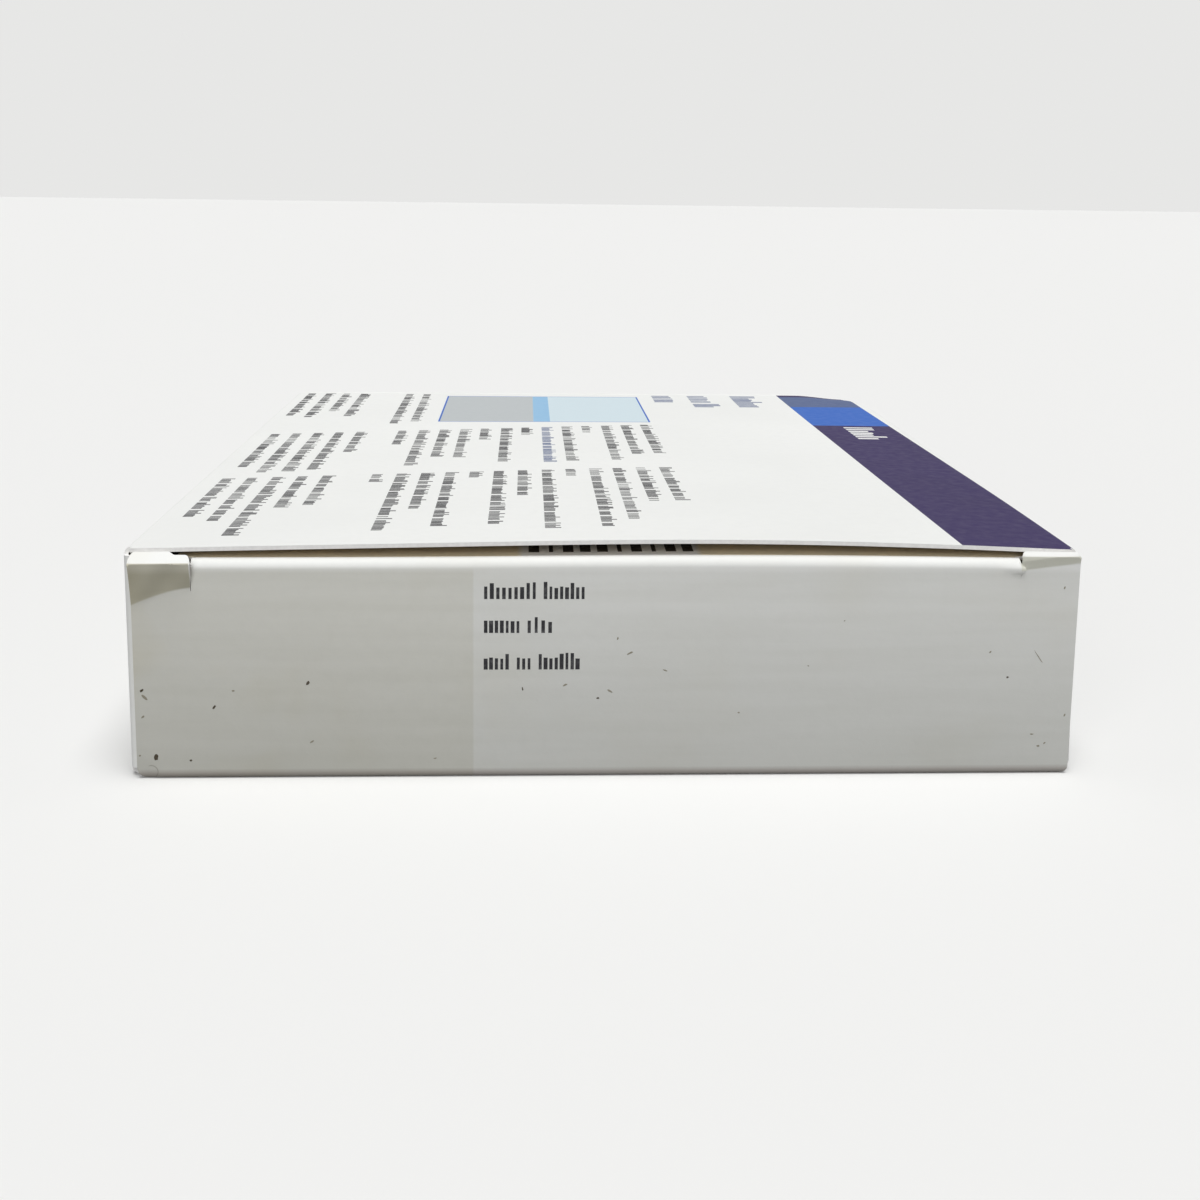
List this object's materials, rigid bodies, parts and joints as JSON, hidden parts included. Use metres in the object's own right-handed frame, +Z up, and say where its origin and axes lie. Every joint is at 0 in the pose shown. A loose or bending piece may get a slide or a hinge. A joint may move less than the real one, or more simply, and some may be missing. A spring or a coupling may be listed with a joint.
{
  "type": "medicine box",
  "caption": "Flat medicine carton of white folding board with hinged tuck flaps at its ends, holding foil strips and a folded leaflet.",
  "frame": {"origin": "centre of the underside, on the surface that the carton lies on", "axes": "+Z up through the thin side of the carton, +Y along the carton from the end with the lower-hinged flap to the end with the upper-hinged flap, +X across it"},
  "size_m": [0.09, 0.1108, 0.0225],
  "materials": {
    "board": "white coated outside, brown and bare inside",
    "foil": "satin foil",
    "leaflet_paper": "thin uncoated paper"
  },
  "bodies": {
    "carton": {"carton": "board", "foil_strip_1": "foil", "foil_strip_2": "foil", "foil_strip_3": "foil", "folded_leaflet": "leaflet_paper"},
    "near_flap": {"near_end_flap": "board"},
    "near_tongue": {"near_tuck_tongue": "board"},
    "far_flap": {"far_end_flap": "board"},
    "far_tongue": {"far_tuck_tongue": "board"}
  },
  "joints": [
    {"name": "near_flap_fold", "type": "hinge", "parent": "carton", "child": "near_flap", "pos_m": [0, -0.0541, 0.0005], "axis": [1, 0, 0], "range_deg": [0, 87]},
    {"name": "near_tongue_fold", "type": "hinge", "parent": "near_flap", "child": "near_tongue", "pos_m": [0, -0.0537, 0.0202], "axis": [1, 0, 0], "range_deg": [-44, 0]},
    {"name": "far_flap_fold", "type": "hinge", "parent": "carton", "child": "far_flap", "pos_m": [0, 0.0549, 0.0215], "axis": [1, 0, 0], "range_deg": [0, 110]},
    {"name": "far_tongue_fold", "type": "hinge", "parent": "far_flap", "child": "far_tongue", "pos_m": [0, 0.0545, 0.0018], "axis": [1, 0, 0], "range_deg": [-55.5, 0]}
  ],
  "couplings": [
    {"joint": "near_tongue_fold", "follows": "near_flap_fold", "ratio": -0.5},
    {"joint": "far_tongue_fold", "follows": "far_flap_fold", "ratio": -0.5}
  ]
}
